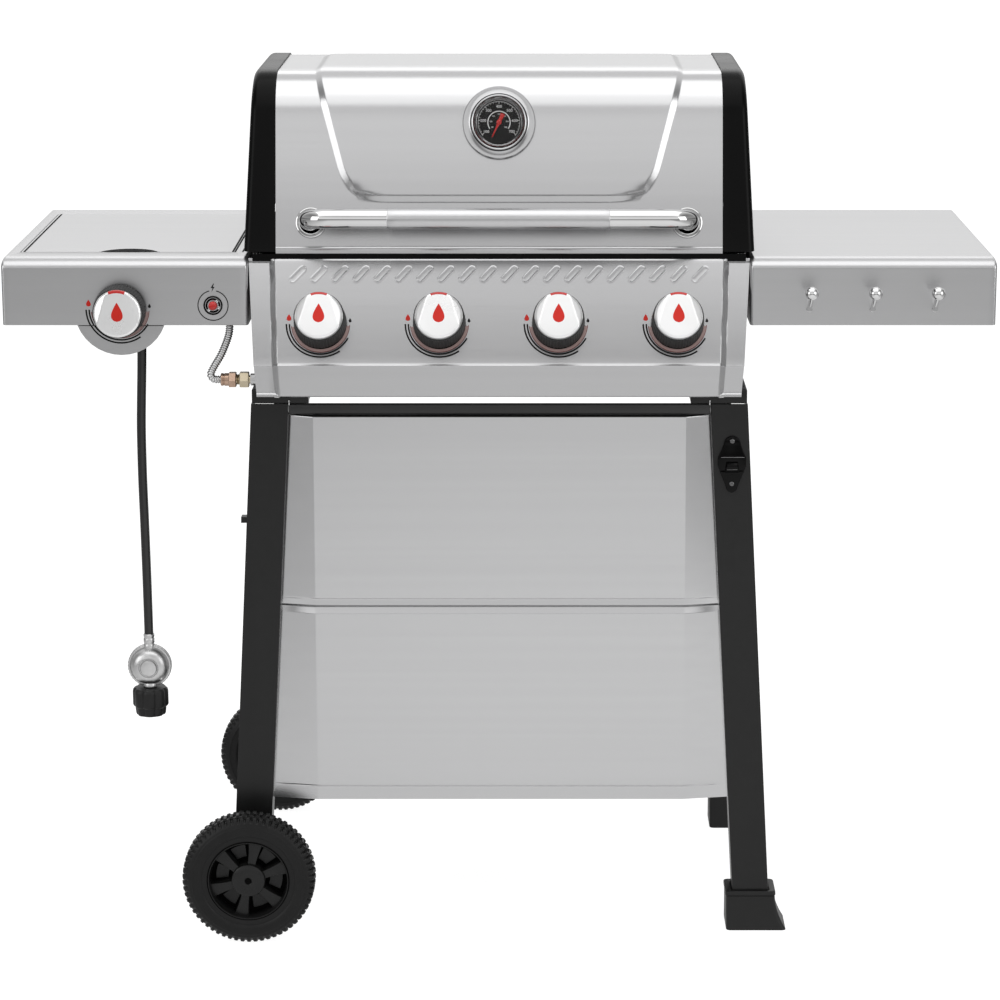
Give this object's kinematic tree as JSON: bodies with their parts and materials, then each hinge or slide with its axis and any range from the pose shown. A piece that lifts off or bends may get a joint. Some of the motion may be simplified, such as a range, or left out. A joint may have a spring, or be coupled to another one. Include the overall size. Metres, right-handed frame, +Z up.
{
  "type": "gas barbecue grill",
  "caption": "Stainless gas barbecue on a wheeled cart: hinged lid with dial, row of knobs, side shelves, side burner under a cover, hanging regulator hose.",
  "frame": {"origin": "on the ground, below the middle of the footprint box of the grill", "axes": "+X from the side burner shelf on the left to the plain shelf on the right, +Y from the front to the back, +Z up"},
  "size_m": [1.28, 0.6088, 1.1485],
  "materials": {
    "stainless": "brushed stainless sheet",
    "chrome": "polished",
    "black_paint": "black powder coat",
    "cast_black": "black heat-proof enamel on cast metal",
    "iron": "matt enamelled",
    "zinc": "plated and cast light metal",
    "brass": "plain",
    "rubber": "matt",
    "tyre": "moulded tread",
    "black_plastic": "moulded",
    "red": "plain"
  },
  "bodies": {
    "cart": {"leg_front_left": "black_paint", "leg_rear_left": "black_paint", "leg_front_right": "black_paint", "leg_rear_right": "black_paint", "top_frame": "black_paint", "bottom_shelf": "black_paint", "front_panel_upper": "stainless", "front_panel_lower": "stainless", "bottle_opener": "black_paint", "wheel_axle": "zinc", "foot_front_right": "black_plastic", "foot_rear_right": "black_plastic", "firebox": "cast_black", "burner_1": "stainless", "burner_2": "stainless", "burner_3": "stainless", "burner_4": "stainless", "flame_tamer_1": "stainless", "flame_tamer_2": "stainless", "flame_tamer_3": "stainless", "flame_tamer_4": "stainless", "control_panel": "stainless", "gas_manifold": "zinc", "side_shelf_right": "stainless", "tool_hook_1": "chrome", "tool_hook_2": "chrome", "tool_hook_3": "chrome", "side_shelf_left": "stainless", "side_burner_head": "iron", "side_burner_grate": "iron", "side_burner_valve": "zinc", "flex_line": "zinc", "flex_fitting": "brass", "gas_hose": "rubber", "regulator": "zinc"},
    "wheel_front": {"wheel_front": "tyre"},
    "wheel_rear": {"wheel_rear": "tyre"},
    "grate_left": {"cooking_grate_left": "iron"},
    "grate_right": {"cooking_grate_right": "iron"},
    "rack": {"warming_rack": "chrome"},
    "tray": {"grease_tray": "stainless"},
    "lid": {"lid_shell": "stainless", "lid_cap_left": "cast_black", "lid_cap_right": "cast_black", "lid_handle": "chrome", "thermometer": "chrome"},
    "needle": {"thermometer_needle": "red"},
    "cover": {"side_burner_cover": "stainless"},
    "igniter": {"igniter_button": "red"},
    "regulator_nut": {"regulator_nut": "black_plastic"},
    "stem_1": {"valve_stem_1": "brass"},
    "knob_1": {"knob_1": "black_plastic"},
    "stem_2": {"valve_stem_2": "brass"},
    "knob_2": {"knob_2": "black_plastic"},
    "stem_3": {"valve_stem_3": "brass"},
    "knob_3": {"knob_3": "black_plastic"},
    "stem_4": {"valve_stem_4": "brass"},
    "knob_4": {"knob_4": "black_plastic"},
    "stem_side": {"valve_stem_side": "brass"},
    "knob_side": {"knob_side": "black_plastic"}
  },
  "joints": [
    {"name": "lid_swing", "type": "hinge", "parent": "cart", "child": "lid", "pos_m": [0, 0.24242, 0.93], "axis": [-1, 0, 0], "range_deg": [0, 88]},
    {"name": "needle_turn", "type": "hinge", "parent": "lid", "child": "needle", "pos_m": [0, -0.18194, 1.08404], "axis": [0, -0.9763, 0.2164], "range_deg": [-300, 0], "stiffness_Nm_per_rad": 0.002},
    {"name": "cover_swing", "type": "hinge", "parent": "cart", "child": "cover", "pos_m": [-0.483, 0.16342, 0.909], "axis": [-1, 0, 0], "range_deg": [0, 95]},
    {"name": "knob_1_push", "type": "slide", "parent": "cart", "child": "stem_1", "axis": [0, 0.8984, -0.4391], "range_m": [0, 0.004], "stiffness_N_per_m": 600, "springref_m": -0.003},
    {"name": "knob_1_turn", "type": "hinge", "parent": "stem_1", "child": "knob_1", "pos_m": [-0.2286, -0.25349, 0.8335], "axis": [0, -0.8984, 0.4391], "range_deg": [0, 270]},
    {"name": "knob_2_push", "type": "slide", "parent": "cart", "child": "stem_2", "axis": [0, 0.8984, -0.4391], "range_m": [0, 0.004], "stiffness_N_per_m": 600, "springref_m": -0.003},
    {"name": "knob_2_turn", "type": "hinge", "parent": "stem_2", "child": "knob_2", "pos_m": [-0.0762, -0.25349, 0.8335], "axis": [0, -0.8984, 0.4391], "range_deg": [0, 270]},
    {"name": "knob_3_push", "type": "slide", "parent": "cart", "child": "stem_3", "axis": [0, 0.8984, -0.4391], "range_m": [0, 0.004], "stiffness_N_per_m": 600, "springref_m": -0.003},
    {"name": "knob_3_turn", "type": "hinge", "parent": "stem_3", "child": "knob_3", "pos_m": [0.0762, -0.25349, 0.8335], "axis": [0, -0.8984, 0.4391], "range_deg": [0, 270]},
    {"name": "knob_4_push", "type": "slide", "parent": "cart", "child": "stem_4", "axis": [0, 0.8984, -0.4391], "range_m": [0, 0.004], "stiffness_N_per_m": 600, "springref_m": -0.003},
    {"name": "knob_4_turn", "type": "hinge", "parent": "stem_4", "child": "knob_4", "pos_m": [0.2286, -0.25349, 0.8335], "axis": [0, -0.8984, 0.4391], "range_deg": [0, 270]},
    {"name": "knob_side_push", "type": "slide", "parent": "cart", "child": "stem_side", "axis": [0, 1, 0], "range_m": [0, 0.004], "stiffness_N_per_m": 600, "springref_m": -0.003},
    {"name": "knob_side_turn", "type": "hinge", "parent": "stem_side", "child": "knob_side", "pos_m": [-0.488, -0.22958, 0.848], "axis": [0, -1, 0], "range_deg": [0, 270]},
    {"name": "igniter_push", "type": "slide", "parent": "cart", "child": "igniter", "axis": [0, 1, 0], "range_m": [0, 0.004], "stiffness_N_per_m": 400, "springref_m": -0.003},
    {"name": "grate_left_lift", "type": "slide", "parent": "cart", "child": "grate_left", "axis": [0, 0, 1], "range_m": [0, 0.045]},
    {"name": "grate_right_lift", "type": "slide", "parent": "cart", "child": "grate_right", "axis": [0, 0, 1], "range_m": [0, 0.045]},
    {"name": "rack_lift", "type": "slide", "parent": "cart", "child": "rack", "axis": [0, 0, 1], "range_m": [0, 0.05]},
    {"name": "tray_slide", "type": "slide", "parent": "cart", "child": "tray", "axis": [0, 1, 0], "range_m": [0, 0.185]},
    {"name": "wheel_front_spin", "type": "hinge", "parent": "cart", "child": "wheel_front", "pos_m": [-0.33421, -0.26158, 0.0888], "axis": [0, 1, 0], "continuous": true},
    {"name": "wheel_rear_spin", "type": "hinge", "parent": "cart", "child": "wheel_rear", "pos_m": [-0.33421, 0.28242, 0.0888], "axis": [0, 1, 0], "continuous": true},
    {"name": "regulator_nut_turn", "type": "hinge", "parent": "cart", "child": "regulator_nut", "pos_m": [-0.4675, -0.19158, 0.31], "axis": [0, 0, 1], "continuous": true}
  ]
}
